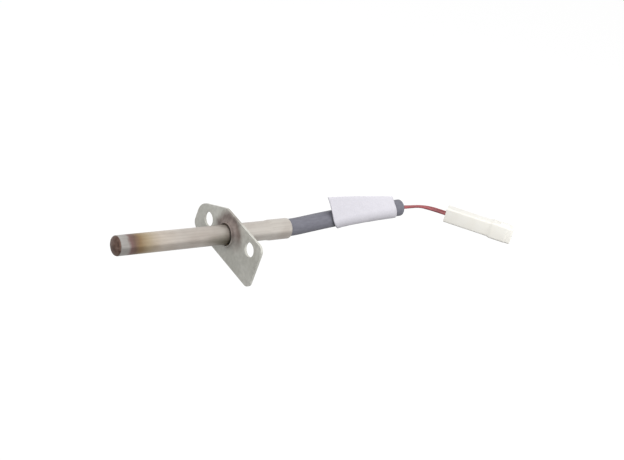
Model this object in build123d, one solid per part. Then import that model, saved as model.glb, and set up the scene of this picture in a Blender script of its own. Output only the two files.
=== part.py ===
from build123d import *
from math import asin, cos, pi, radians, sin, sqrt, tan
import os

# Flame sensor probe for a boiler: a closed stainless sheath through a two-hole flange, with a
# grey lead sleeve, two insulated leads and a two-way nylon connector.
# X runs along the sheath from tip to rear, the two screw holes lie along Y, and +Z is up.
# The origin is on the sheath's axis, in the flange's tip-side face. Sizes are in millimetres.

# ---------------------------------------------------------------- driving sizes
SHEATH_OD = 6.0
SHEATH_WALL = 0.5
TIP_REACH = 39.7          # flange face to the crown of the closed tip
REAR_REACH = 22.0         # flange face to the rolled rear edge
TIP_CROWN = 1.0
CAP_SPIGOT = 1.5

SLEEVE_OD = 5.4
SLEEVE_WALL = 0.5
SLEEVE_SEAT = 7.4         # length of sleeve held inside the rear socket
SOCKET_WALL = 0.45
SOCKET_CONE = 1.0
SOCKET_LIP = 0.35

PLATE_THICK = 0.8
PLATE_NEAR_END = 16.1     # sheath axis to the square end
PLATE_FAR_END = 16.8      # sheath axis to the end with the cut corner
PLATE_ABOVE = 6.3         # sheath axis to the upper long edge
PLATE_BELOW = 8.5         # sheath axis to the lower long edge
PLATE_TILT = 11.5         # degrees from the line of the holes
CUT_LONG = 12.4           # how much of the upper edge the corner cut takes
CUT_DEEP = 6.5            # how much of the far end the corner cut takes
PLATE_CORNER_R = 2.2
CUT_CORNER_R = 3.6        # where the corner cut leaves the upper edge
FAR_CORNER_R = 5.0        # where it meets the far end
HOLE_D = 4.5
HOLE_SPACING = 22.0

COLLAR_RISE = 1.4         # drawn collar, from the plate's tip-side face
COLLAR_GAP = 0.35         # between sheath and collar
COLLAR_WALL = 0.4
COLLAR_FILLET = 1.2
BRAZE_LEG = 0.8

WIRE_D = 0.4
WIRE_SPACING = 2.0
ELEMENT_D = 3.6
ELEMENT_LONG = 12.0
INSULATOR_D = 4.6
INSULATOR_BORE = 0.6
INSULATOR_END = 3.0       # rear end of the ceramic insulators
BEADS = 3
BEAD_GAP = 0.15

SPLICE_START = 4.6
SPLICE_LONG = 6.0
SPLICE_GAP = 0.25         # between the two insulating sleeves
SHRINK_WALL = 0.175
SHRINK_OVERHANG = 0.6
PLUG_LONG = 2.4

LEAD_D = 0.9
CORE_D = 0.5
FIT = 0.05                # radial play between nested pieces

LABEL_START = 36.6
LABEL_END = 65.4
LABEL_THICK = 0.16
LABEL_PLAY = 0.2          # between sleeve and label
LABEL_SECTIONS = 4        # cross-sections along the label, each set on the sleeve's line
LABEL_FIN_START = 7.9     # sleeve centre to the flag's crest at the flared end
LABEL_FIN_END = 4.3

HOUSING_LONG = 22.8
HOUSING_WIDE = 8.6
HOUSING_HIGH = 4.7
HOUSING_EDGE_R = 0.35
HOOD_LONG = 7.6
HOOD_RISE = 0.3
RAMP_LONG = 3.2
RAMP_RISE = 0.35
RAMP_SETBACK = 1.6
CAVITY_PITCH = 3.7
ENTRY_D = 1.9
CHAMBER_D = 2.4
MOUTH_D = 3.0
MOUTH_DEEP = 6.0
TERMINAL_OD = 2.2
TERMINAL_WALL = 0.25
TERMINAL_BACK = 3.0       # from the wire end of the housing to the terminal
TERMINAL_LONG = 17.0
GRIP_LONG = 2.6
CRIMP_LONG = 3.2
PLUG_YAW = -50.0
PLUG_PITCH = 3.3
PLUG_ROLL = -11.5

# ---------------------------------------------------------------- sizes that follow
SHEATH_R = SHEATH_OD / 2
BORE_R = SHEATH_R - SHEATH_WALL
SOCKET_BORE_R = SLEEVE_OD / 2 + FIT
SOCKET_R = SOCKET_BORE_R + SOCKET_WALL
SOCKET_START = REAR_REACH - SLEEVE_SEAT
TIP_EDGE = -(TIP_REACH - TIP_CROWN)
COLLAR_BORE_R = SHEATH_R + COLLAR_GAP
COLLAR_R = COLLAR_BORE_R + COLLAR_WALL
FLARE_R = COLLAR_R + COLLAR_FILLET
ELEMENT_START = TIP_EDGE + CAP_SPIGOT
ELEMENT_END = ELEMENT_START + ELEMENT_LONG
SPLICE_END = SPLICE_START + SPLICE_LONG
SHRINK_OD = WIRE_SPACING - SPLICE_GAP
SPLICE_OD = SHRINK_OD - 2 * (SHRINK_WALL + FIT)
PLUG_START = SOCKET_START - PLUG_LONG
LEAD_START = SPLICE_END - 0.6
WIRE_SIDES = (WIRE_SPACING / 2, -WIRE_SPACING / 2)

# The sleeve's line: straight in the socket, then a slight lift that levels out.
SLEEVE_ROUTE = [
    (SOCKET_START, 0.0, 0.0),
    (23.0, 0.0, 0.0),
    (31.0, -0.05, 0.95),
    (39.5, -0.1, 1.85),
    (48.5, -0.1, 2.5),
    (58.0, -0.05, 2.98),
    (67.6, 0.0, 3.3),
]
SLEEVE_TIP = SLEEVE_ROUTE[-1]

# The connector hangs on its leads: where the middle of its wire end is, and its axes.
PLUG_AT = (83.3, -6.2, 2.75)
PLUG_TURN = Rotation(0, 0, PLUG_YAW) * Rotation(0, PLUG_PITCH, 0) * Rotation(PLUG_ROLL, 0, 0)
PLUG_PLACE = Location(PLUG_AT) * PLUG_TURN

# Free stretch of each lead, from the sleeve's mouth to the connector.
FREE_POINTS = {
    "a": [(72.4, 0.35, 3.1), (76.5, -0.45, 3.3), (80.1, -1.75, 3.1)],
    "b": [(71.6, -0.75, 3.5), (75.2, -1.5, 3.85), (78.3, -3.2, 3.4)],
}
SIDES = {"a": 1, "b": -1}


# ---------------------------------------------------------------- helpers
def save(shape, name):
    """Write one sub-part under its own name."""
    os.makedirs("parts", exist_ok=True)
    export_step(shape, f"parts/{name}.step")


def turned(points):
    """Solid of revolution about the sheath's axis from a closed outline of (x, radius)."""
    outline = Polyline(*[(x, r) for x, r in points], close=True)
    return revolve(make_face(outline), Axis.X)


def tube(x0, x1, outer_r, inner_r, y=0.0):
    """Plain round tube along X."""
    plane = Plane(origin=(x0, y, 0), z_dir=(1, 0, 0))
    return extrude(plane * (Circle(outer_r) - Circle(inner_r)), x1 - x0)


def rod(x0, x1, radius, y=0.0):
    """Plain round rod along X."""
    plane = Plane(origin=(x0, y, 0), z_dir=(1, 0, 0))
    return extrude(plane * Circle(radius), x1 - x0)


def corner_radii(points):
    """Largest smooth arc at each corner of a route, from its two runs and its turn."""
    spots = [Vector(*p) for p in points]
    radii = []
    for before, here, after in zip(spots, spots[1:], spots[2:]):
        first = here - before
        second = after - here
        half_turn = radians(first.get_angle(second)) / 2
        radii.append(0.45 * min(first.length, second.length) / tan(half_turn))
    return radii


def route_path(points, radii):
    """Straight runs joined by tangent arcs."""
    return FilletPolyline(*points, radius=radii)


def swept(path, section):
    """Sweep a flat section, drawn about its own origin, along a path."""
    start = Plane(origin=path @ 0, z_dir=path % 0)
    return sweep(start * section, path=path)


def report_cord(name, path, radii, solid, area):
    """Print a cord's length, its arcs and how its volume agrees with them."""
    ratio = solid.volume / (area * path.length)
    arcs = " ".join(f"{r:.1f}" for r in radii)
    print(f"{name}: length {path.length:.2f} volume ratio {ratio:.4f} radii {arcs}")


# ---------------------------------------------------------------- sheath and tip
def sheath_tube():
    """Stainless tube with its rear end expanded into a socket and rolled over the sleeve."""
    cone_start = SOCKET_START - SOCKET_CONE
    return turned([
        (TIP_EDGE, BORE_R),
        (TIP_EDGE, SHEATH_R),
        (cone_start, SHEATH_R),
        (SOCKET_START, SOCKET_R),
        (REAR_REACH - SOCKET_LIP, SOCKET_R),
        (REAR_REACH, SOCKET_R - SOCKET_LIP),
        (REAR_REACH, SOCKET_BORE_R),
        (SOCKET_START, SOCKET_BORE_R),
        (cone_start, BORE_R),
    ])


def tip_cap():
    """Closing disc with a low crown outside and a spigot in the sheath's bore."""
    edge_r = SHEATH_R
    spigot_r = BORE_R - FIT
    spigot_end = TIP_EDGE + CAP_SPIGOT
    crown = ThreePointArc(
        (-TIP_REACH, 0),
        (-TIP_REACH + TIP_CROWN * 0.25, edge_r * 0.62),
        (TIP_EDGE, edge_r),
    )
    rest = Polyline(
        (TIP_EDGE, edge_r),
        (TIP_EDGE, spigot_r),
        (spigot_end, spigot_r),
        (spigot_end, 0),
        (-TIP_REACH, 0),
    )
    return revolve(make_face(crown + rest), Axis.X)


def sensing_element():
    """Round ceramic sensing element with eased ends."""
    body = rod(ELEMENT_START + FIT, ELEMENT_END, ELEMENT_D / 2)
    ends = body.edges().filter_by(GeomType.CIRCLE)
    return fillet(ends, ELEMENT_D * 0.12)


def element_cement():
    """Heat-conducting cement that fills the space round the element."""
    return tube(ELEMENT_START + FIT, ELEMENT_END, BORE_R - FIT, ELEMENT_D / 2 + FIT)


def element_wire(y):
    """Bare nickel wire from the element to its splice."""
    return rod(ELEMENT_END, SPLICE_START + SPLICE_LONG / 2 - FIT, WIRE_D / 2, y)


def insulator_beads():
    """Row of twin-bore ceramic insulators."""
    first = ELEMENT_END + FIT
    pitch = (INSULATOR_END - first + BEAD_GAP) / BEADS
    beads = []
    for index in range(BEADS):
        start = first + index * pitch
        bead = rod(start, start + pitch - BEAD_GAP, INSULATOR_D / 2)
        for y in WIRE_SIDES:
            bead -= rod(start - 1, start + pitch + 1, INSULATOR_BORE / 2, y)
        beads.append(bead)
    return Compound(children=beads)


# ---------------------------------------------------------------- flange
def plate_outline():
    """Plate outline in the flange plane: a tilted rectangle with one corner cut off."""
    square_corners = [
        (-PLATE_NEAR_END, PLATE_ABOVE),
        (-PLATE_NEAR_END, -PLATE_BELOW),
        (PLATE_FAR_END, -PLATE_BELOW),
    ]
    far_corner = (PLATE_FAR_END, PLATE_ABOVE - CUT_DEEP)
    upper_corner = (PLATE_FAR_END - CUT_LONG, PLATE_ABOVE)
    face = make_face(Polyline(*square_corners, far_corner, upper_corner, close=True))
    face = fillet(face.vertices().sort_by_distance(far_corner)[0], FAR_CORNER_R)
    face = fillet(face.vertices().sort_by_distance(upper_corner)[0], CUT_CORNER_R)
    for corner in square_corners:
        face = fillet(face.vertices().sort_by_distance(corner)[0], PLATE_CORNER_R)
    return Rotation(0, 0, PLATE_TILT) * face


def flare_point(angle, play=0.0):
    """Point on the plate's rear-side curve into the collar, as (x, radius)."""
    x = -COLLAR_FILLET + (COLLAR_FILLET + PLATE_THICK + play) * cos(radians(angle))
    radius = FLARE_R - (COLLAR_FILLET + COLLAR_WALL + play) * sin(radians(angle))
    return (x, radius)


def drawn_collar():
    """Collar drawn out of the plate towards the tip, with its smooth root."""
    root = (-COLLAR_FILLET, COLLAR_R)
    middle = COLLAR_FILLET * (1 - sqrt(0.5))
    front = ThreePointArc((0, FLARE_R), (-middle, COLLAR_R + middle), root)
    rear = ThreePointArc(flare_point(90), flare_point(45), flare_point(0))
    rim = Polyline(root, (-COLLAR_RISE, COLLAR_R), (-COLLAR_RISE, COLLAR_BORE_R), flare_point(90))
    close = Line(flare_point(0), (0, FLARE_R))
    return revolve(make_face(front + rim + rear + close), Axis.X)


def flange_plate():
    """Pressed sheet flange with two screw holes and a drawn collar."""
    plane = Plane(origin=(0, 0, 0), x_dir=(0, 1, 0), z_dir=(1, 0, 0))
    sheet = extrude(plane * plate_outline(), PLATE_THICK)
    sheet -= rod(-1, PLATE_THICK + 1, FLARE_R)
    for side in (-1, 1):
        sheet -= rod(-1, PLATE_THICK + 1, HOLE_D / 2, side * HOLE_SPACING / 2)
    return sheet + drawn_collar()


def flange_braze():
    """Ring of braze that fixes the flange to the sheath from behind."""
    inner_r = SHEATH_R + FIT / 2
    front_x = flare_point(57, FIT)[0]
    arc = ThreePointArc(flare_point(57, FIT), flare_point(38, FIT), flare_point(20, FIT))
    rest = Polyline(
        flare_point(20, FIT),
        (PLATE_THICK + BRAZE_LEG, inner_r),
        (front_x, inner_r),
        flare_point(57, FIT),
    )
    return revolve(make_face(arc + rest), Axis.X)


# ---------------------------------------------------------------- splices, plug and sleeve
def splice_barrels():
    """Crimp barrels that join the element wires to the lead cores."""
    barrels = []
    for y in WIRE_SIDES:
        barrels.append(tube(SPLICE_START, SPLICE_END - 1.2, SPLICE_OD / 2, CORE_D / 2 + FIT, y))
    return Compound(children=barrels)


def splice_sleeves():
    """Insulating sleeves over the splice barrels."""
    sleeves = []
    for y in WIRE_SIDES:
        start = SPLICE_START - SHRINK_OVERHANG
        sleeves.append(tube(start, SPLICE_END, SHRINK_OD / 2, SPLICE_OD / 2 + FIT, y))
    return Compound(children=sleeves)


def potting_plug():
    """Potting that seals the sheath round the two leads."""
    narrow_r = min(BORE_R, SOCKET_BORE_R) - FIT
    plug = rod(PLUG_START, SOCKET_START - SOCKET_CONE, BORE_R - FIT)
    plug += rod(SOCKET_START - SOCKET_CONE, SOCKET_START, narrow_r)
    for y in WIRE_SIDES:
        plug -= rod(PLUG_START - 1, SOCKET_START + 1, LEAD_D / 2 + FIT, y)
    return plug


def lead_sleeve():
    """Grey sleeve over both leads, held in the rear socket."""
    radii = corner_radii(SLEEVE_ROUTE)
    path = route_path(SLEEVE_ROUTE, radii)
    outer_r = SLEEVE_OD / 2
    inner_r = outer_r - SLEEVE_WALL
    sleeve = swept(path, Circle(outer_r) - Circle(inner_r))
    report_cord("lead_sleeve", path, radii, sleeve, pi * (outer_r ** 2 - inner_r ** 2))
    return sleeve


# ---------------------------------------------------------------- leads
def plug_point(x, y):
    """A point of the connector's own frame, in the object's frame."""
    spot = PLUG_PLACE * Location((x, y, 0))
    return tuple(spot.position)


def lead_route(name):
    """Corner points of one lead, from its splice to the terminal in the connector."""
    side = SIDES[name]
    cavity_y = side * CAVITY_PITCH / 2
    points = [
        (LEAD_START, side * WIRE_SPACING / 2, 0.0),
        (SOCKET_START + 1.4, side * WIRE_SPACING / 2, 0.0),
    ]
    for x, y, z in SLEEVE_ROUTE[1:-1]:
        points.append((x, y + side * 0.55, z))
    points.append((SLEEVE_TIP[0] - 0.6, SLEEVE_TIP[1] + side * 0.5, SLEEVE_TIP[2] + 0.1))
    points += FREE_POINTS[name]
    points.append(plug_point(-2.4, cavity_y))
    points.append(plug_point(TERMINAL_BACK + GRIP_LONG - FIT, cavity_y))
    return points


def longer(points, start_extra, end_extra):
    """The same route with its two end runs made longer."""
    first, second = Vector(*points[0]), Vector(*points[1])
    last, before = Vector(*points[-1]), Vector(*points[-2])
    start = first + (first - second).normalized() * start_extra
    end = last + (last - before).normalized() * end_extra
    return [tuple(start)] + points[1:-1] + [tuple(end)]


def lead_pieces(name):
    """Insulation and core of one lead, on one line."""
    points = lead_route(name)
    radii = corner_radii(points)
    path = route_path(points, radii)
    insulation = swept(path, Circle(LEAD_D / 2) - Circle(CORE_D / 2))
    area = pi * (LEAD_D ** 2 - CORE_D ** 2) / 4
    report_cord(f"lead_{name}", path, radii, insulation, area)
    into_splice = LEAD_START - (SPLICE_START + SPLICE_LONG / 2)
    core_points = longer(points, into_splice, CRIMP_LONG - FIT)
    core_path = route_path(core_points, radii)
    core = swept(core_path, Circle(CORE_D / 2))
    report_cord(f"lead_{name}_core", core_path, radii, core, pi * CORE_D ** 2 / 4)
    return insulation, core


# ---------------------------------------------------------------- label
def flag_outline(radius, crest):
    """Teardrop round the sleeve: a circle with two straight sides that meet in a crest."""
    crest_radius = radius * 0.12
    top = crest - crest_radius
    lift = asin((radius - crest_radius) / top)
    side = (radius * cos(lift), radius * sin(lift))
    tip = (crest_radius * cos(lift), top + crest_radius * sin(lift))
    bottom = ThreePointArc(side, (0, -radius), (-side[0], side[1]))
    left = Line((-side[0], side[1]), (-tip[0], tip[1]))
    cap = ThreePointArc((-tip[0], tip[1]), (0, crest), tip)
    right = Line(tip, side)
    return make_face(bottom + left + cap + right)


def sleeve_height(x):
    """Height of the sleeve's line at x, along the runs of its route."""
    for before, after in zip(SLEEVE_ROUTE, SLEEVE_ROUTE[1:]):
        if before[0] <= x <= after[0]:
            share = (x - before[0]) / (after[0] - before[0])
            return before[2] + share * (after[2] - before[2])
    return SLEEVE_TIP[2]


def label_wrap():
    """Paper flag label, wrapped round the sleeve and pinched together above it."""
    inner_r = SLEEVE_OD / 2 + LABEL_PLAY
    outer_faces = []
    inner_faces = []
    for index in range(LABEL_SECTIONS):
        share = index / (LABEL_SECTIONS - 1)
        x = LABEL_START + share * (LABEL_END - LABEL_START)
        crest = LABEL_FIN_START + share * (LABEL_FIN_END - LABEL_FIN_START)
        plane = Plane(origin=(x, 0, sleeve_height(x)), x_dir=(0, 1, 0), z_dir=(1, 0, 0))
        outer_faces.append(plane * flag_outline(inner_r + LABEL_THICK, crest))
        inner_faces.append(plane * flag_outline(inner_r, crest - 3 * LABEL_THICK))
    return loft(outer_faces) - loft(inner_faces)


# ---------------------------------------------------------------- connector
def slab(x0, x1, wide, z0, z1):
    """Box centred across its width."""
    return Pos((x0 + x1) / 2, 0, (z0 + z1) / 2) * Box(x1 - x0, wide, z1 - z0)


def connector_housing():
    """Two-way nylon housing: wire end at x = 0, hooded mating end with a locking ramp."""
    half = HOUSING_HIGH / 2
    body = slab(0, HOUSING_LONG, HOUSING_WIDE, -half, half)
    body = fillet(body.edges().filter_by(Axis.X), HOUSING_EDGE_R)
    hood_half = half + HOOD_RISE
    hood_start = HOUSING_LONG - HOOD_LONG
    hood = slab(hood_start, HOUSING_LONG, HOUSING_WIDE + 2 * HOOD_RISE, -hood_half, hood_half)
    hood = fillet(hood.edges().filter_by(Axis.X), HOUSING_EDGE_R + HOOD_RISE)
    hood = chamfer(hood.faces().sort_by(Axis.X)[0].edges(), HOOD_RISE * 0.9)
    hood = fillet(hood.faces().sort_by(Axis.X)[-1].edges(), HOUSING_EDGE_R)
    ramp_end = HOUSING_LONG - RAMP_SETBACK
    ramp_side = make_face(Polyline(
        (ramp_end - RAMP_LONG, hood_half - FIT),
        (ramp_end - RAMP_LONG * 0.35, hood_half + RAMP_RISE),
        (ramp_end, hood_half + RAMP_RISE),
        (ramp_end, hood_half - FIT),
        close=True,
    ))
    ramp = extrude(Plane.XZ * ramp_side, HOUSING_WIDE * 0.25, both=True)
    housing = body + hood + ramp
    for side in SIDES.values():
        y = side * CAVITY_PITCH / 2
        housing -= rod(-1, TERMINAL_BACK, ENTRY_D / 2, y)
        housing -= rod(TERMINAL_BACK - FIT, HOUSING_LONG - MOUTH_DEEP, CHAMBER_D / 2, y)
        housing -= rod(HOUSING_LONG - MOUTH_DEEP - FIT, HOUSING_LONG + 1, MOUTH_D / 2, y)
    return PLUG_PLACE * housing


def terminal(side):
    """Crimp socket terminal: insulation grip, core crimp and round socket."""
    start = TERMINAL_BACK
    grip_end = start + GRIP_LONG
    crimp_end = grip_end + CRIMP_LONG
    end = start + TERMINAL_LONG
    socket_r = TERMINAL_OD / 2
    grip_r = LEAD_D / 2 + FIT + TERMINAL_WALL
    crimp_r = CORE_D / 2 + FIT + TERMINAL_WALL
    profile = [
        (start, LEAD_D / 2 + FIT),
        (start, grip_r),
        (grip_end, grip_r),
        (grip_end + 0.4, crimp_r),
        (crimp_end, crimp_r),
        (crimp_end + 1.4, socket_r),
        (end, socket_r),
        (end, socket_r - TERMINAL_WALL),
        (crimp_end + 1.8, socket_r - TERMINAL_WALL),
        (crimp_end + 1.8, 0),
        (crimp_end, 0),
        (crimp_end, CORE_D / 2 + FIT),
        (grip_end, CORE_D / 2 + FIT),
        (grip_end, LEAD_D / 2 + FIT),
    ]
    return PLUG_PLACE * Pos(0, side * CAVITY_PITCH / 2, 0) * turned(profile)


# ---------------------------------------------------------------- build
def build():
    """Make and write every sub-part."""
    save(sheath_tube(), "sheath_tube")
    save(tip_cap(), "tip_cap")
    save(sensing_element(), "sensing_element")
    save(element_cement(), "element_cement")
    save(element_wire(WIRE_SIDES[0]), "element_wire_a")
    save(element_wire(WIRE_SIDES[1]), "element_wire_b")
    save(insulator_beads(), "insulator_beads")
    save(flange_plate(), "flange_plate")
    save(flange_braze(), "flange_braze")
    save(splice_barrels(), "splice_barrels")
    save(splice_sleeves(), "splice_sleeves")
    save(potting_plug(), "potting_plug")
    save(lead_sleeve(), "lead_sleeve")
    save(label_wrap(), "label_wrap")
    save(connector_housing(), "connector_housing")
    for name, side in SIDES.items():
        insulation, core = lead_pieces(name)
        save(insulation, f"lead_{name}")
        save(core, f"lead_{name}_core")
        save(terminal(side), f"terminal_{name}")


build()
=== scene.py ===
from math import asin, atan2, cos, degrees, pi, radians, sin, sqrt, tau

import bmesh
import bpy
from mathutils import Euler, Matrix, Vector, noise


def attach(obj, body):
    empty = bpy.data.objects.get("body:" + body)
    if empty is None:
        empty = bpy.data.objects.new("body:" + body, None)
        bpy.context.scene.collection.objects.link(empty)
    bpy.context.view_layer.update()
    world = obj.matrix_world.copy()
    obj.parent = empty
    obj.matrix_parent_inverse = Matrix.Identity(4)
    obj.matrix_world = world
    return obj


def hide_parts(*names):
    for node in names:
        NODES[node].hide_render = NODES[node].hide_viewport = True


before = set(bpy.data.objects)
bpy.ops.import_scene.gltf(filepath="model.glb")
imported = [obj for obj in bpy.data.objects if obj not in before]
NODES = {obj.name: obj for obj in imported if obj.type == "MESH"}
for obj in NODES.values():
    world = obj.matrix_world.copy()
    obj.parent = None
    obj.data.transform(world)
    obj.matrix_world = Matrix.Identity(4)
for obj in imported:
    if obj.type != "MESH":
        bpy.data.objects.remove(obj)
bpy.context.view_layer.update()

# Flame sensor probe. Lengths below are in millimetres unless a name or comment says metres.
# X runs along the sheath from tip to rear, the screw holes lie along Y and +Z is up.

MM = 0.001
BODY = "root"

# ---------------------------------------------------------------- camera
CAMERA_AT = (-0.2411, -0.3055, 0.1648)    # metres
CAMERA_AZIMUTH = -41.833
CAMERA_ELEVATION = 22.088
CAMERA_ROLL = 12.545
CAMERA_LENS = 81.49

# ---------------------------------------------------------------- cords, as in the part's source
# Control points of the sleeve's line, in metres.
SLEEVE_POINTS = [
    (0.0146, 0.0, 0.0),
    (0.0230, 0.0, 0.0),
    (0.0310, -0.00005, 0.00095),
    (0.0395, -0.0001, 0.00185),
    (0.0485, -0.0001, 0.0025),
    (0.0580, -0.00005, 0.00298),
    (0.0676, 0.0, 0.0033),
]
# Control points of the two leads, in metres, from the splices to the connector's terminals.
LEAD_POINTS = {
    "a": [
        (0.0100, 0.0010, 0.0),
        (0.0160, 0.0010, 0.0),
        (0.0230, 0.00055, 0.0),
        (0.0310, 0.0005, 0.00095),
        (0.0395, 0.00045, 0.00185),
        (0.0485, 0.00045, 0.0025),
        (0.0580, 0.0005, 0.00298),
        (0.0670, 0.0005, 0.0034),
        (0.0724, 0.00035, 0.0031),
        (0.0765, -0.00045, 0.0033),
        (0.0801, -0.00175, 0.0031),
    ],
    "b": [
        (0.0100, -0.0010, 0.0),
        (0.0160, -0.0010, 0.0),
        (0.0230, -0.00055, 0.0),
        (0.0310, -0.0006, 0.00095),
        (0.0395, -0.00065, 0.00185),
        (0.0485, -0.00065, 0.0025),
        (0.0580, -0.0006, 0.00298),
        (0.0670, -0.0005, 0.0034),
        (0.0716, -0.00075, 0.0035),
        (0.0752, -0.0015, 0.00385),
        (0.0783, -0.0032, 0.0034),
    ],
}
SIDES = {"a": 1, "b": -1}

SLEEVE_R = 2.7
SLEEVE_BORE_R = 2.2
LEAD_R = 0.45
CORE_R = 0.25

# ---------------------------------------------------------------- sheath, flange and label sizes
SHEATH_R = 3.0
BORE_R = 2.5
TIP_X = -39.7
TIP_EDGE = -38.7
CROWN_RISE = 0.6           # of the end disc inside its weld
CROWN_R = 2.5
SPIGOT_END = -37.2
SPIGOT_R = 2.45
CONE_START = 13.6
SOCKET_START = 14.6
SOCKET_R = 3.2
SOCKET_BORE_R = 2.75
REAR_X = 22.0
ROUND = 128                # points round the turned pieces

PLATE_THICK = 0.8
PLATE_TILT = 11.5
PLATE_CORNERS = [
    ((-16.1, 6.3), 2.2),
    ((-16.1, -8.5), 2.2),
    ((16.8, -8.5), 2.2),
    ((16.8, -0.2), 5.0),
    ((4.4, 6.3), 3.6),
]
HOLE_R = 2.25
HOLE_Y = 11.0
FLARE_R = 4.95
COLLAR_R = 3.75
COLLAR_BORE_R = 3.35
COLLAR_FILLET = 1.2
COLLAR_RISE = 1.4

LABEL_THICK = 0.16
LABEL_R = 2.93
LABEL_CREST_START = 7.85
LABEL_CREST_END = 4.3

# ---------------------------------------------------------------- connector sizes, in its own frame
PLUG_AT = (83.3, -6.2, 2.75)
PLUG_YAW = -50.0
PLUG_PITCH = 3.3
PLUG_ROLL = -11.5
HOUSING_LONG = 22.8
HALF_WIDE = 4.3
HALF_HIGH = 2.35
EDGE_R = 0.5
HOOD_START = 15.2
HOOD_RISE = 0.3
BAND_START = 20.9          # slightly lower band at the mating end
BAND_DROP = 0.1
CAVITY_Y = 1.85
TERMINAL_BACK = 3.0
LEAD_END = 5.55
CRIMP_REACH = 3.15


# ---------------------------------------------------------------- helpers
def turn(axis, degrees):
    """Rotation about one axis."""
    return Matrix.Rotation(radians(degrees), 4, axis)


PLUG_TURN = turn("Z", PLUG_YAW) @ turn("Y", PLUG_PITCH) @ turn("X", PLUG_ROLL)
PLUG_PLACE = Matrix.Translation(PLUG_AT) @ PLUG_TURN


def plug_point(x, y):
    """A point of the connector's own frame, in the object's frame and in metres."""
    return tuple(PLUG_PLACE @ Vector((x, y, 0)) * MM)


def lofted(rings, ring_closed=True, loop_closed=False):
    """Skin over rings of equally many points, as vertices and faces."""
    count = len(rings[0])
    rows = len(rings) if loop_closed else len(rings) - 1
    columns = count if ring_closed else count - 1
    faces = []
    for row in range(rows):
        near = row * count
        far = (row + 1) % len(rings) * count
        for k in range(columns):
            beside = (k + 1) % count
            faces.append((near + k, far + k, far + beside, near + beside))
    return [tuple(spot) for ring in rings for spot in ring], faces


def filled(loops):
    """Flat face between an outer loop and the loops inside it, as vertices and triangles."""
    sheet = bmesh.new()
    for loop in loops:
        corners = [sheet.verts.new(spot) for spot in loop]
        for here, after in zip(corners, corners[1:] + corners[:1]):
            sheet.edges.new((here, after))
    bmesh.ops.triangle_fill(sheet, use_beauty=True, edges=sheet.edges[:])
    sheet.verts.index_update()
    spots = [tuple(vert.co) for vert in sheet.verts]
    faces = [tuple(vert.index for vert in face.verts) for face in sheet.faces]
    sheet.free()
    return spots, faces


def piece(name, skins, place=None, sharp=35):
    """One mesh object from several skins given in millimetres, welded where they meet."""
    spots = []
    faces = []
    for skin_spots, skin_faces in skins:
        first = len(spots)
        spots += skin_spots
        faces += [tuple(index + first for index in face) for face in skin_faces]
    mesh = bpy.data.meshes.new(name)
    mesh.from_pydata(spots, [], faces)
    if place is not None:
        mesh.transform(place)
    mesh.transform(Matrix.Scale(MM, 4))
    welded = bmesh.new()
    welded.from_mesh(mesh)
    bmesh.ops.remove_doubles(welded, verts=welded.verts[:], dist=1e-7)
    bmesh.ops.recalc_face_normals(welded, faces=welded.faces[:])
    welded.to_mesh(mesh)
    welded.free()
    mesh.shade_smooth()
    mesh.set_sharp_from_angle(angle=radians(sharp))
    made = bpy.data.objects.new(name, mesh)
    bpy.context.scene.collection.objects.link(made)
    return made


def circle(x, radius, y=0.0, z=0.0, count=ROUND):
    """Points of a circle across the X direction."""
    return [(x, y + radius * cos(tau * k / count), z + radius * sin(tau * k / count)) for k in range(count)]


def arc(centre, radius, start, end, steps):
    """Points (a, b) of an arc between two angles in degrees."""
    points = []
    for k in range(steps + 1):
        angle = radians(start + (end - start) * k / steps)
        points.append((centre[0] + radius * cos(angle), centre[1] + radius * sin(angle)))
    return points


def belongs(made, material, slot, *nodes):
    """Give a piece its material; when the CAD nodes that it stands for are named, hide them and attach the piece to
    the body. The slot argument is not used.
    """
    made.data.materials.clear()
    made.data.materials.append(material)
    if nodes:
        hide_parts(*nodes)
        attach(made, BODY)
    return made


# ---------------------------------------------------------------- material helpers
def shade(red, green, blue):
    """Scene-linear colour from display values of 0 to 255."""
    channels = []
    for value in (red, green, blue):
        share = value / 255
        channels.append(share / 12.92 if share <= 0.04045 else ((share + 0.055) / 1.055) ** 2.4)
    return (*channels, 1.0)


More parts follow.
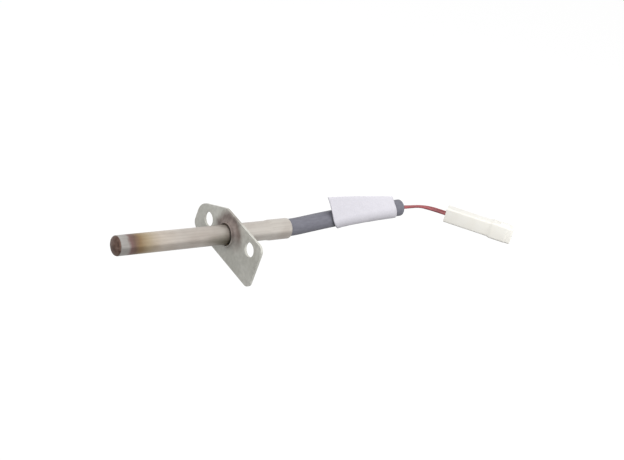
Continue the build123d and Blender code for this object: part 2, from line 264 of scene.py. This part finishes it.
class Look:
    """A Principled material with short calls for its node tree."""

    def __init__(self, name, metallic=0.0, roughness=0.5, specular=0.5):
        self.material = bpy.data.materials.new(name)
        self.material.use_nodes = True
        self.tree = self.material.node_tree
        self.shader = self.tree.nodes["Principled BSDF"]
        self.shader.inputs["Metallic"].default_value = metallic
        self.shader.inputs["Roughness"].default_value = roughness
        self.shader.inputs["Specular IOR Level"].default_value = specular
        self.place = self.tree.nodes.new("ShaderNodeTexCoord").outputs["Object"]

    def link(self, source, target):
        """Join an output to an input."""
        self.tree.links.new(source, target)

    def noise(self, scale, stretch=(1, 1, 1), detail=4.0, distortion=0.0):
        """Noise in metres of the object, stretched by axis, as its factor output."""
        mapping = self.tree.nodes.new("ShaderNodeMapping")
        mapping.inputs["Scale"].default_value = stretch
        self.link(self.place, mapping.inputs["Vector"])
        grain = self.tree.nodes.new("ShaderNodeTexNoise")
        grain.inputs["Scale"].default_value = scale
        grain.inputs["Detail"].default_value = detail
        grain.inputs["Distortion"].default_value = distortion
        self.link(mapping.outputs["Vector"], grain.inputs["Vector"])
        return grain.outputs["Fac"]

    def along(self, axis, low, high):
        """Share from 0 to 1 of the way between two places on an axis, in millimetres."""
        split = self.tree.nodes.new("ShaderNodeSeparateXYZ")
        self.link(self.place, split.inputs["Vector"])
        share = self.tree.nodes.new("ShaderNodeMapRange")
        share.inputs["From Min"].default_value = low * MM
        share.inputs["From Max"].default_value = high * MM
        self.link(split.outputs[axis], share.inputs["Value"])
        return share.outputs["Result"]

    def near_axis(self, full, none, scale):
        """Share that is 1 near the sheath's axis and fades out between two radii, with an uneven edge."""
        flat = self.tree.nodes.new("ShaderNodeMapping")
        flat.inputs["Scale"].default_value = (0, 1, 1)
        self.link(self.place, flat.inputs["Vector"])
        length = self.tree.nodes.new("ShaderNodeVectorMath")
        length.operation = "LENGTH"
        self.link(flat.outputs["Vector"], length.inputs[0])
        wave = self.math("MULTIPLY", self.math("SUBTRACT", self.noise(scale, detail=3), 0.5), 0.003)
        fade = self.tree.nodes.new("ShaderNodeMapRange")
        fade.interpolation_type = "SMOOTHSTEP"
        fade.inputs["From Min"].default_value = none * MM
        fade.inputs["From Max"].default_value = full * MM
        self.link(self.math("ADD", length.outputs["Value"], wave), fade.inputs["Value"])
        return fade.outputs["Result"]

    def math(self, operation, first, second):
        """Arithmetic on outputs or plain numbers."""
        node = self.tree.nodes.new("ShaderNodeMath")
        node.operation = operation
        for socket, value in zip(node.inputs, (first, second)):
            if isinstance(value, (int, float)):
                socket.default_value = value
            else:
                self.link(value, socket)
        return node.outputs["Value"]

    def ramp(self, share, stops):
        """Colours along a share; stops are (place, colour)."""
        node = self.tree.nodes.new("ShaderNodeValToRGB")
        elements = node.color_ramp.elements
        while len(elements) < len(stops):
            elements.new(0.5)
        for element, (place, colour) in zip(elements, stops):
            element.position = place
            element.color = colour
        self.link(share, node.inputs["Fac"])
        return node.outputs["Color"]

    def mix(self, share, first, second, blend="MIX"):
        """Mix two colours."""
        node = self.tree.nodes.new("ShaderNodeMix")
        node.data_type = "RGBA"
        node.blend_type = blend
        for socket, value in ((node.inputs[0], share), (node.inputs[6], first), (node.inputs[7], second)):
            if isinstance(value, (int, float, tuple)):
                socket.default_value = value
            else:
                self.link(value, socket)
        return node.outputs[2]

    def colour(self, source):
        """Set the base colour."""
        self.link(source, self.shader.inputs["Base Color"])

    def roughness(self, share, low, high):
        """Roughness that follows a share between two values."""
        spread = self.math("MULTIPLY", share, high - low)
        self.link(self.math("ADD", spread, low), self.shader.inputs["Roughness"])

    def bump(self, height, depth, strength=1.0):
        """Surface relief; depth in millimetres."""
        node = self.tree.nodes.new("ShaderNodeBump")
        node.inputs["Strength"].default_value = strength
        node.inputs["Distance"].default_value = depth * MM
        self.link(height, node.inputs["Height"])
        self.link(node.outputs["Normal"], self.shader.inputs["Normal"])


# ---------------------------------------------------------------- materials
def stainless():
    """Brushed tube with the heat colours near the tip, and painted shade on its underside just ahead of the flange.
    """
    look = Look("stainless", metallic=0.9, roughness=0.3)
    low, high = TIP_X, -18.0
    mottle = look.noise(420, (1, 1, 1), detail=5)
    drift = look.math("MULTIPLY", look.math("SUBTRACT", mottle, 0.5), 0.09)
    place = look.math("ADD", look.along("X", low, high), drift)
    tint = look.ramp(place, [
        (0.00, shade(120, 112, 106)),
        (0.05, shade(182, 179, 176)),
        (0.15, shade(176, 172, 168)),
        (0.20, shade(138, 112, 108)),
        (0.26, shade(130, 108, 98)),
        (0.34, shade(158, 134, 102)),
        (0.47, shade(188, 172, 146)),
        (0.66, shade(206, 195, 183)),
        (1.00, shade(212, 206, 199)),
    ])
    streaks = look.noise(3800, (0.012, 1, 1), detail=5)
    brushed = look.ramp(streaks, [(0.3, shade(238, 237, 236)), (0.65, shade(252, 252, 251))])
    base = look.mix(1.0, tint, brushed, "MULTIPLY")
    blotches = look.noise(160, (0.6, 1, 1), detail=4)
    cloud = look.ramp(blotches, [(0.35, shade(232, 228, 226)), (0.6, shade(255, 255, 255))])
    base = look.mix(1.0, base, cloud, "MULTIPLY")
    # painted shade: the tube's underside just ahead of the flange is darkened towards a dull brown
    lengthwise = look.ramp(look.along("X", -11.0, 3.0), [
        (0.0, (0, 0, 0, 1)),
        (0.68, (1, 1, 1, 1)),
        (0.82, (1, 1, 1, 1)),
        (1.0, (0, 0, 0, 1)),
    ])
    below = look.math("ADD", look.along("Z", 1.6, -1.2), look.math("MULTIPLY", mottle, 0.3))
    painted_underside_shade = look.math("MULTIPLY", look.math("MINIMUM", below, 1.0), lengthwise)
    look.colour(look.mix(painted_underside_shade, base, shade(112, 106, 92)))
    look.roughness(streaks, 0.3, 0.42)
    look.bump(streaks, 0.012)
    return look.material


def oxidised_tip():
    """Dark brown scale on the welded end."""
    look = Look("oxidised_tip", metallic=0.55, roughness=0.45)
    patches = look.noise(700, detail=6, distortion=0.4)
    look.colour(look.ramp(patches, [
        (0.30, shade(70, 50, 42)),
        (0.50, shade(98, 76, 66)),
        (0.72, shade(122, 104, 94)),
    ]))
    look.roughness(patches, 0.35, 0.6)
    look.bump(look.noise(1600, detail=5), 0.05)
    return look.material


def plate_steel():
    """Matt greenish-grey plated sheet, stained brown round the collar by the brazing heat."""
    look = Look("plate_steel", metallic=0.15, roughness=0.5)
    grain = look.noise(900, detail=5)
    clean = look.ramp(grain, [(0.3, shade(194, 193, 185)), (0.7, shade(210, 209, 202))])
    cloud = look.noise(110, detail=3)
    clean = look.mix(1.0, clean, look.ramp(cloud, [(0.3, shade(232, 232, 230)), (0.65, shade(255, 255, 255))]), "MULTIPLY")
    stained = look.ramp(look.noise(500, detail=4), [(0.3, shade(104, 92, 88)), (0.7, shade(146, 133, 126))])
    upper = look.along("Z", -5.5, 1.5)
    heat = look.math("MULTIPLY", look.near_axis(5.2, 8.2, 380), upper)
    look.colour(look.mix(heat, clean, stained))
    look.roughness(grain, 0.42, 0.58)
    look.bump(grain, 0.012)
    return look.material


def speckled(name, dark, light, scale, depth, metallic=0.0, rough=(0.5, 0.7)):
    """A plain material with a fine mottle in colour, gloss and relief."""
    look = Look(name, metallic=metallic)
    grain = look.noise(scale, detail=5)
    look.colour(look.ramp(grain, [(0.3, dark), (0.7, light)]))
    look.roughness(grain, *rough)
    look.bump(grain, depth)
    return look.material


def sleeve_grey():
    """Blue-grey sleeve with a faint woven grain."""
    look = Look("sleeve_grey", roughness=0.55, specular=0.45)
    grain = look.noise(1500, (0.35, 1, 1), detail=4)
    look.colour(look.ramp(grain, [(0.3, shade(104, 104, 113)), (0.7, shade(116, 116, 125))]))
    look.roughness(grain, 0.45, 0.65)
    look.bump(grain, 0.015)
    return look.material


def paper():
    """Bare white label paper with a cool cast, soft fibres and slight cockling."""
    look = Look("paper", roughness=0.6, specular=0.3)
    fibres = look.noise(2200, detail=5)
    look.colour(look.ramp(fibres, [(0.3, shade(202, 200, 207)), (0.7, shade(210, 208, 215))]))
    look.roughness(fibres, 0.5, 0.7)
    cockle = look.noise(190, (0.6, 1, 1), detail=2)
    relief = look.math("ADD", look.math("MULTIPLY", cockle, 6.0), fibres)
    look.bump(relief, 0.03)
    return look.material


def lead_red():
    """Muted red insulation."""
    look = Look("lead_red", roughness=0.42, specular=0.5)
    grain = look.noise(900, (0.3, 1, 1), detail=4)
    look.colour(look.ramp(grain, [(0.3, shade(140, 72, 76)), (0.7, shade(172, 92, 96))]))
    look.roughness(grain, 0.34, 0.5)
    look.bump(grain, 0.01)
    return look.material


def nylon():
    """Milky natural nylon with a faint mottle."""
    look = Look("nylon", roughness=0.38, specular=0.5)
    grain = look.noise(260, detail=4)
    look.colour(look.ramp(grain, [(0.3, shade(243, 240, 231)), (0.7, shade(247, 245, 238))]))
    look.roughness(grain, 0.3, 0.46)
    look.bump(look.noise(700, detail=3), 0.003)
    return look.material


MATERIALS = {
    "stainless": stainless(),
    "oxidised_tip": oxidised_tip(),
    "plate_steel": plate_steel(),
    "sleeve_grey": sleeve_grey(),
    "paper": paper(),
    "lead_red": lead_red(),
    "nylon": nylon(),
    "braze": speckled("braze", shade(150, 122, 84), shade(196, 170, 122), 900, 0.04, 0.85, (0.28, 0.45)),
    "ceramic": speckled("ceramic", shade(226, 220, 206), shade(240, 236, 226), 1200, 0.02),
    "cement": speckled("cement", shade(150, 146, 138), shade(186, 182, 172), 1500, 0.06, 0.0, (0.8, 0.95)),
    "nickel": speckled("nickel", shade(176, 172, 162), shade(208, 204, 196), 1800, 0.01, 0.95, (0.25, 0.4)),
    "tinned": speckled("tinned", shade(178, 178, 176), shade(214, 214, 212), 1500, 0.01, 0.95, (0.25, 0.42)),
    "shrink": speckled("shrink", shade(24, 24, 26), shade(44, 44, 46), 1400, 0.01, 0.0, (0.4, 0.6)),
    "potting": speckled("potting", shade(40, 38, 38), shade(62, 60, 58), 900, 0.03, 0.0, (0.35, 0.55)),
}


# ---------------------------------------------------------------- camera
def make_camera():
    """Camera with the photograph's place, turn and lens."""
    azimuth = radians(CAMERA_AZIMUTH)
    elevation = radians(CAMERA_ELEVATION)
    roll = radians(CAMERA_ROLL)
    back = Vector((sin(azimuth) * cos(elevation), -cos(azimuth) * cos(elevation), sin(elevation)))
    level_right = Vector((0, 0, 1)).cross(back).normalized()
    level_up = back.cross(level_right)
    right = level_right * cos(roll) + level_up * sin(roll)
    up = level_up * cos(roll) - level_right * sin(roll)
    data = bpy.data.cameras.new("camera")
    data.lens = CAMERA_LENS
    data.sensor_width = 36.0
    data.clip_start = 0.01
    camera = bpy.data.objects.new("camera", data)
    camera.matrix_world = Matrix.Translation(CAMERA_AT) @ Matrix((right, up, back)).transposed().to_4x4()
    bpy.context.scene.collection.objects.link(camera)
    bpy.context.scene.camera = camera


# ---------------------------------------------------------------- cords
def cord_curve(name, points, radius):
    """Open NURBS curve through a cord's control points, round in section."""
    data = bpy.data.curves.new(name, "CURVE")
    data.dimensions = "3D"
    data.resolution_u = 16
    spline = data.splines.new("NURBS")
    spline.points.add(len(points) - 1)
    for control, spot in zip(spline.points, points):
        control.co = (*spot, 1.0)
    spline.order_u = 3
    spline.use_endpoint_u = True
    data.bevel_depth = radius * MM
    data.bevel_resolution = 6
    data.use_fill_caps = radius > 0
    curve = bpy.data.objects.new(name, data)
    bpy.context.scene.collection.objects.link(curve)
    return curve


def longer(points, start_extra, end_extra):
    """The same route with its two end runs made longer, in metres."""
    first, second = Vector(points[0]), Vector(points[1])
    before, last = Vector(points[-2]), Vector(points[-1])
    start = first + (first - second).normalized() * start_extra
    end = last + (last - before).normalized() * end_extra
    return [tuple(start)] + points[1:-1] + [tuple(end)]


def make_leads():
    """Both leads, each an insulated curve with its bare core on the same line."""
    for name, side in SIDES.items():
        points = LEAD_POINTS[name] + [
            plug_point(-2.4, side * CAVITY_Y),
            plug_point(LEAD_END, side * CAVITY_Y),
        ]
        lead = belongs(cord_curve(f"insulation_{name}", points, LEAD_R), MATERIALS["lead_red"], "lead_red", f"lead_{name}")
        core_points = longer(points, 2.4 * MM, CRIMP_REACH * MM)
        core = cord_curve(f"core_{name}", core_points, CORE_R)
        belongs(core, MATERIALS["tinned"], "tinned", f"lead_{name}_core")


def sleeve_line():
    """Points along the sleeve's NURBS line, read from a curve with no thickness, in millimetres."""
    guide = cord_curve("sleeve_guide", SLEEVE_POINTS, 0)
    guide.data.resolution_u = 10
    bpy.context.view_layer.update()
    mesh = bpy.data.meshes.new_from_object(guide)
    line = [vert.co.copy() / MM for vert in mesh.vertices]
    bpy.data.objects.remove(guide)
    bpy.data.meshes.remove(mesh)
    return line


def frames(line):
    """Place and two cross directions at each point of a line."""
    made = []
    side = Vector((0, 1, 0))
    for index, spot in enumerate(line):
        before = line[max(index - 1, 0)]
        after = line[min(index + 1, len(line) - 1)]
        forward = (after - before).normalized()
        side = (side - forward * side.dot(forward)).normalized()
        made.append((spot, forward, side, forward.cross(side)))
    return made


def ring(frame_at, radius, shift=0.0, count=72):
    """Circle of points round one frame of a line, moved along it by shift."""
    spot, forward, side, up = frame_at
    centre = spot + forward * shift
    points = []
    for k in range(count):
        angle = tau * k / count
        points.append(centre + side * (radius * cos(angle)) + up * (radius * sin(angle)))
    return points


def make_sleeve(line):
    """Hollow sleeve with a rounded mouth, along its line."""
    stations = frames(line)
    wall = SLEEVE_R - SLEEVE_BORE_R
    rings = [ring(station, SLEEVE_R) for station in stations[:-1]]
    lip_r = wall / 2
    for angle in range(0, 181, 20):
        out = cos(radians(angle)) * lip_r
        shift = (sin(radians(angle)) - 1) * lip_r
        rings.append(ring(stations[-1], SLEEVE_R - lip_r + out, shift))
    rings += [ring(station, SLEEVE_BORE_R) for station in reversed(stations[:-1])]
    return piece("sleeve", [lofted(rings, loop_closed=True)])


# ---------------------------------------------------------------- label
def line_spot(line, x):
    """Point of the sleeve's line at an X."""
    for before, after in zip(line, line[1:]):
        if before.x <= x <= after.x:
            share = (x - before.x) / (after.x - before.x)
            return before.lerp(after, share)
    return line[-1] if x > line[-1].x else line[0]


def flag_spot(share, radius, crest):
    """Point (across, up) on a teardrop round the sleeve, from its crest down one side and up the other."""
    lift = asin(radius / crest)
    side = sqrt(crest ** 2 - radius ** 2)
    belly = radius * (pi + 2 * lift)
    reach = share * (2 * side + belly)
    touch = Vector((radius * cos(lift), radius * sin(lift)))
    top = Vector((0, crest))
    if reach <= side:
        return top.lerp(touch, reach / side)
    if reach >= side + belly:
        mirrored = Vector((-touch.x, touch.y))
        return mirrored.lerp(top, (reach - side - belly) / side)
    angle = lift - (reach - side) / radius
    return Vector((radius * cos(angle), radius * sin(angle)))


def make_label(line):
    """Paper flag label with slanted ends, wrapped round the sleeve and pinched at its crest."""
    across, along = 120, 60
    rings = []
    for row in range(along + 1):
        share = row / along
        crest = LABEL_CREST_START + share * (LABEL_CREST_END - LABEL_CREST_START)
        radius = LABEL_R + 0.32 * (1 - share) ** 5
        strip = []
        for k in range(across + 1):
            spot = flag_spot(k / across, radius, crest)
            height = min((spot.y + radius) / (crest + radius), 1.0)
            behind = 0.9 * (spot.x + radius * (1 - height))
            start = 35.7 + 4.2 * (1 - height) ** 0.8 + behind
            end = 63.3 + 1.6 * (1 - height) + 0.25 * behind
            x = start + share * (end - start)
            centre = line_spot(line, x)
            ripple = 0.06 * noise.noise(Vector((x * 0.35, spot.x * 0.5, spot.y * 0.4)))
            outward = Vector((0, spot.x, spot.y)).normalized() * ripple
            strip.append(Vector((x, centre.y + spot.x, centre.z + spot.y)) + outward)
        rings.append(strip)
    label = piece("label", [lofted(rings, ring_closed=False)], sharp=70)
    paper_sheet = label.modifiers.new("thickness", "SOLIDIFY")
    paper_sheet.thickness = LABEL_THICK * MM
    paper_sheet.offset = 1.0
    return label


# ---------------------------------------------------------------- sheath and tip
def make_sheath():
    """Tube with eased ends and a rear socket rolled over the sleeve."""
    loop = [
        (TIP_EDGE, BORE_R),
        (TIP_EDGE, SHEATH_R - 0.12),
        (TIP_EDGE + 0.05, SHEATH_R - 0.03),
        (TIP_EDGE + 0.16, SHEATH_R),
    ]
    loop += [(x, SHEATH_R) for x in range(-38, 13, 2)]
    for k in range(11):
        share = k / 10
        rise = share * share * (3 - 2 * share)
        loop.append((CONE_START - 0.5 + 2.0 * share, SHEATH_R + (SOCKET_R - SHEATH_R) * rise))
    loop += [(x, SOCKET_R) for x in (16, 18, 20, 21.2)]
    loop += arc((REAR_X - 0.42, SOCKET_R - 0.42), 0.42, 90, 0, 7)
    loop += [(REAR_X - 0.03, SOCKET_BORE_R), (SOCKET_START, SOCKET_BORE_R), (CONE_START, BORE_R)]
    rings = [circle(x, radius) for x, radius in loop]
    return piece("sheath", [lofted(rings, loop_closed=True)])


def make_tip():
    """Crowned end disc with the slightly uneven weld round its edge."""
    crown = [(TIP_X + CROWN_RISE * (radius / CROWN_R) ** 2, radius) for radius in (0.0, 0.4, 0.8, 1.2, 1.6, 2.0, 2.3)]
    weld_start = TIP_X + CROWN_RISE
    weld = [(weld_start - 0.03, 2.52), (weld_start, 2.68), (weld_start + 0.09, 2.82), (weld_start + 0.24, 2.93)]
    weld.append((weld_start + 0.36, 2.97))
    back = [(TIP_EDGE, SHEATH_R - 0.12), (TIP_EDGE, SPIGOT_R), (SPIGOT_END, SPIGOT_R), (SPIGOT_END, 0.0)]
    rings = []
    for x, radius in crown + weld + back:
        spots = circle(x, radius)
        if (x, radius) in weld:
            spots = [uneven(spot, 0.05) for spot in spots]
        rings.append(spots)
    return piece("tip", [lofted(rings)])


def uneven(spot, depth):
    """Move a point of the weld inwards by a little smooth noise."""
    wave = 0.5 + 0.5 * noise.noise(Vector(spot) * 1.3)
    x, y, z = spot
    return (x + depth * wave, y * (1 - 0.3 * depth * wave), z * (1 - 0.3 * depth * wave))


# ---------------------------------------------------------------- flange
def rounded(corners, steps=10):
    """Closed outline (a, b) with each corner given its own radius."""
    outline = []
    count = len(corners)
    for index, (corner, radius) in enumerate(corners):
        here = Vector(corner)
        to_before = (Vector(corners[index - 1][0]) - here).normalized()
        to_after = (Vector(corners[(index + 1) % count][0]) - here).normalized()
        half = to_before.angle(to_after) / 2
        middle = (to_before + to_after).normalized()
        centre = here + middle * (radius / sin(half))
        facing = degrees(atan2(-middle.y, -middle.x))
        sweep = 90 - degrees(half)
        outline += arc(centre, radius, facing - sweep, facing + sweep, steps)
    return outline


def plate_loop(x):
    """The plate's tilted outline at an X."""
    tilt = radians(PLATE_TILT)
    loop = []
    for across, up in rounded(PLATE_CORNERS):
        loop.append((x, across * cos(tilt) - up * sin(tilt), across * sin(tilt) + up * cos(tilt)))
    return loop


def collar_profile():
    """Points (x, radius) over the drawn collar, from the front face to the rear face."""
    profile = arc((-COLLAR_FILLET, FLARE_R), COLLAR_FILLET, 0, -90, 12)
    rim_r = (COLLAR_R - COLLAR_BORE_R) / 2
    rim = arc((-COLLAR_RISE + rim_r, COLLAR_R - rim_r), rim_r, 90, 270, 8)
    profile += rim
    for k in range(1, 13):
        angle = radians(90 - 90 * k / 12)
        reach = COLLAR_FILLET + PLATE_THICK
        drop = COLLAR_FILLET + COLLAR_R - COLLAR_BORE_R
        profile.append((-COLLAR_FILLET + reach * cos(angle), FLARE_R - drop * sin(angle)))
    return profile


def make_flange():
    """Pressed plate with two screw holes and its drawn collar, edges slightly eased."""
    ends = (0.0, PLATE_THICK)
    skins = []
    for x in ends:
        holes = [circle(x, HOLE_R, side * HOLE_Y, count=64) for side in (-1, 1)]
        skins.append(filled([plate_loop(x), *holes, circle(x, FLARE_R)]))
    skins.append(lofted([plate_loop(x) for x in ends]))
    for side in (-1, 1):
        skins.append(lofted([circle(x, HOLE_R, side * HOLE_Y, count=64) for x in ends]))
    skins.append(lofted([circle(x, radius) for x, radius in collar_profile()]))
    flange = piece("flange", skins)
    eased = flange.modifiers.new("eased_edges", "BEVEL")
    eased.width = 0.09 * MM
    eased.segments = 2
    eased.limit_method = "ANGLE"
    eased.angle_limit = radians(60)
    eased.harden_normals = True
    return flange


# ---------------------------------------------------------------- connector
def rectangle(x, half_wide, half_high, radius, steps=6):
    """Rounded rectangle across the connector's own X direction."""
    loop = []
    for sign_y, sign_z, start in ((1, 1, 0), (-1, 1, 90), (-1, -1, 180), (1, -1, 270)):
        centre = (sign_y * (half_wide - radius), sign_z * (half_high - radius))
        loop += [(x, y, z) for y, z in arc(centre, radius, start, start + 90, steps)]
    return loop


def block(x0, x1, y0, y1, z0, z1, ease=0.12):
    """Small eased block in the connector's frame, as a skin."""
    half_wide, half_high = (y1 - y0) / 2, (z1 - z0) / 2
    middle = Vector((0, (y0 + y1) / 2, (z0 + z1) / 2))
    rings = []
    for x, shrink in ((x0, ease), (x0 + ease, 0.0), (x1 - ease, 0.0), (x1, ease)):
        loop = rectangle(x, half_wide - shrink, half_high - shrink, max(ease - shrink * 0.6, 0.03), 3)
        rings.append([Vector(spot) + middle for spot in loop])
    spots, faces = lofted(rings)
    count = len(rings[0])
    last = len(spots) - count
    faces.append(tuple(range(count)))
    faces.append(tuple(range(last, last + count)))
    return spots, faces


def housing_shell():
    """Outer skin and the two terminal cavities of the connector."""
    hood_wide, hood_high = HALF_WIDE + HOOD_RISE, HALF_HIGH + HOOD_RISE
    stations = [
        (0.0, HALF_WIDE - 0.2, HALF_HIGH - 0.2, 0.2),
        (0.06, HALF_WIDE - 0.08, HALF_HIGH - 0.08, 0.28),
        (0.2, HALF_WIDE, HALF_HIGH, EDGE_R),
        (HOOD_START - 0.6, HALF_WIDE, HALF_HIGH, EDGE_R),
        (HOOD_START - 0.2, HALF_WIDE + 0.05, HALF_HIGH + 0.05, EDGE_R),
        (HOOD_START + 0.4, hood_wide - 0.05, hood_high - 0.05, 0.6),
        (HOOD_START + 0.8, hood_wide, hood_high, 0.65),
        (BAND_START - 0.1, hood_wide, hood_high, 0.65),
        (BAND_START, hood_wide - BAND_DROP, hood_high - BAND_DROP, 0.6),
        (HOUSING_LONG - 0.35, hood_wide - BAND_DROP, hood_high - BAND_DROP, 0.6),
        (HOUSING_LONG - 0.1, hood_wide - BAND_DROP - 0.1, hood_high - BAND_DROP - 0.1, 0.5),
        (HOUSING_LONG, hood_wide - BAND_DROP - 0.3, hood_high - BAND_DROP - 0.3, 0.35),
    ]
    rings = [rectangle(*station) for station in stations]
    entry = [(0.0, 0.95), (TERMINAL_BACK, 0.95), (TERMINAL_BACK, 1.2), (16.8, 1.2), (16.8, 1.5), (HOUSING_LONG, 1.5)]
    skins = [lofted(rings)]
    for ring_end, (x, radius) in ((rings[0], entry[0]), (rings[-1], entry[-1])):
        holes = [circle(x, radius, side * CAVITY_Y, count=48) for side in (-1, 1)]
        skins.append(filled([ring_end, *holes]))
    for side in (-1, 1):
        skins.append(lofted([circle(x, radius, side * CAVITY_Y, count=48) for x, radius in entry]))
    return skins


def make_connector():
    """Two-way nylon housing with its locking ramp and moulded steps."""
    hood_top = HALF_HIGH + HOOD_RISE
    skins = housing_shell()
    skins.append(block(18.0, 20.6, -2.1, 2.1, hood_top - 0.3, hood_top + 0.33, 0.2))
    return piece("connector", skins, PLUG_PLACE)


# ---------------------------------------------------------------- studio
FLOOR_Z = -60.0
FLOOR_HALF = 1.0           # metres
AMBIENT = 0.55
SHADOW_SHARE = 0.14
FLOOR_GLOW = 1.06
CARD_Z = -40.0
CARD_GREY = 0.6


def seen_directly(tree):
    """Share that is 1 for camera, glossy and transmission rays."""
    path = tree.nodes.new("ShaderNodeLightPath")
    total = path.outputs["Is Camera Ray"]
    for name in ("Is Glossy Ray", "Is Transmission Ray"):
        add = tree.nodes.new("ShaderNodeMath")
        add.operation = "ADD"
        add.use_clamp = True
        tree.links.new(total, add.inputs[0])
        tree.links.new(path.outputs[name], add.inputs[1])
        total = add.outputs["Value"]
    return total


def make_world():
    """White surroundings where seen, and a softer fill on the object."""
    world = bpy.data.worlds.new("studio")
    world.use_nodes = True
    tree = world.node_tree
    strength = tree.nodes.new("ShaderNodeMapRange")
    strength.inputs["To Min"].default_value = AMBIENT
    strength.inputs["To Max"].default_value = 1.0
    tree.links.new(seen_directly(tree), strength.inputs["Value"])
    background = tree.nodes["Background"]
    background.inputs["Color"].default_value = (1.0, 1.0, 1.0, 1.0)
    tree.links.new(strength.outputs["Result"], background.inputs["Strength"])
    bpy.context.scene.world = world


def make_floor():
    """Pale floor that reads white where seen and keeps the object's soft shadow."""
    mesh = bpy.data.meshes.new("floor")
    corners = [(-FLOOR_HALF, -FLOOR_HALF), (FLOOR_HALF, -FLOOR_HALF), (FLOOR_HALF, FLOOR_HALF), (-FLOOR_HALF, FLOOR_HALF)]
    mesh.from_pydata([(x, y, FLOOR_Z * MM) for x, y in corners], [], [(0, 1, 2, 3)])
    floor = bpy.data.objects.new("floor", mesh)
    bpy.context.scene.collection.objects.link(floor)
    material = bpy.data.materials.new("floor")
    material.use_nodes = True
    tree = material.node_tree
    tree.nodes.remove(tree.nodes["Principled BSDF"])
    matt = tree.nodes.new("ShaderNodeBsdfDiffuse")
    matt.inputs["Color"].default_value = (0.9, 0.9, 0.9, 1.0)
    glow = tree.nodes.new("ShaderNodeEmission")
    lift = tree.nodes.new("ShaderNodeMath")
    lift.operation = "MULTIPLY"
    lift.inputs[1].default_value = FLOOR_GLOW
    tree.links.new(seen_directly(tree), lift.inputs[0])
    tree.links.new(lift.outputs["Value"], glow.inputs["Strength"])
    blend = tree.nodes.new("ShaderNodeMixShader")
    blend.inputs["Fac"].default_value = SHADOW_SHARE
    tree.links.new(glow.outputs["Emission"], blend.inputs[1])
    tree.links.new(matt.outputs["BSDF"], blend.inputs[2])
    tree.links.new(blend.outputs["Shader"], tree.nodes["Material Output"].inputs["Surface"])
    mesh.materials.append(material)


def make_card():
    """Grey card under the object that only gloss sees, so the metal's lower half reads darker."""
    mesh = bpy.data.meshes.new("grey_card")
    low, high = Vector((-0.12, -0.3)), Vector((0.16, 0.12))
    corners = [(low.x, low.y), (high.x, low.y), (high.x, high.y), (low.x, high.y)]
    mesh.from_pydata([(x, y, CARD_Z * MM) for x, y in corners], [], [(0, 1, 2, 3)])
    card = bpy.data.objects.new("grey_card", mesh)
    bpy.context.scene.collection.objects.link(card)
    material = bpy.data.materials.new("grey_card")
    material.use_nodes = True
    tree = material.node_tree
    tree.nodes.remove(tree.nodes["Principled BSDF"])
    glow = tree.nodes.new("ShaderNodeEmission")
    glow.inputs["Strength"].default_value = CARD_GREY
    tree.links.new(glow.outputs["Emission"], tree.nodes["Material Output"].inputs["Surface"])
    mesh.materials.append(material)
    card.visible_camera = False
    card.visible_diffuse = False
    card.visible_transmission = False
    card.visible_shadow = False


def area_light(name, place, aim, size, power, mirrored=True):
    """Square soft light aimed at a point, in metres and watts; gloss shows it where mirrored."""
    data = bpy.data.lights.new(name, "AREA")
    data.shape = "SQUARE"
    data.size = size
    data.energy = power
    light = bpy.data.objects.new(name, data)
    light.location = place
    light.rotation_euler = (Vector(aim) - Vector(place)).to_track_quat("-Z", "Y").to_euler()
    light.visible_glossy = mirrored
    bpy.context.scene.collection.objects.link(light)


def make_lights():
    """Large overhead light, a key from the left front and a weak fill from the right."""
    middle = (0.03, 0.0, 0.0)
    area_light("overhead", (0.02, 0.05, 0.55), middle, 0.5, 1.2, mirrored=False)
    area_light("key", (-0.4, -0.28, 0.26), middle, 0.42, 1.3)
    area_light("fill", (0.3, -0.4, 0.12), middle, 0.3, 1.5, mirrored=False)


# ---------------------------------------------------------------- build
KEPT_NODES = {
    "flange_braze": "braze",
    "sensing_element": "ceramic",
    "element_cement": "cement",
    "element_wire_a": "nickel",
    "element_wire_b": "nickel",
    "insulator_beads": "ceramic",
    "splice_barrels": "tinned",
    "splice_sleeves": "shrink",
    "potting_plug": "potting",
    "terminal_a": "tinned",
    "terminal_b": "tinned",
}

make_camera()
line = sleeve_line()
sleeve = belongs(make_sleeve(line), MATERIALS["sleeve_grey"], "sleeve_grey", "lead_sleeve")
label = belongs(make_label(line), MATERIALS["paper"], "paper", "label_wrap")
connector = belongs(make_connector(), MATERIALS["nylon"], "nylon", "connector_housing")
make_leads()
belongs(make_sheath(), MATERIALS["stainless"], "stainless", "sheath_tube")
belongs(make_tip(), MATERIALS["oxidised_tip"], "oxidised_tip", "tip_cap")
belongs(make_flange(), MATERIALS["plate_steel"], "plate_steel", "flange_plate")
for node, slot in KEPT_NODES.items():
    belongs(NODES[node], MATERIALS[slot], slot)

make_world()
make_floor()
make_card()
make_lights()
bpy.context.scene.view_settings.view_transform = "Standard"
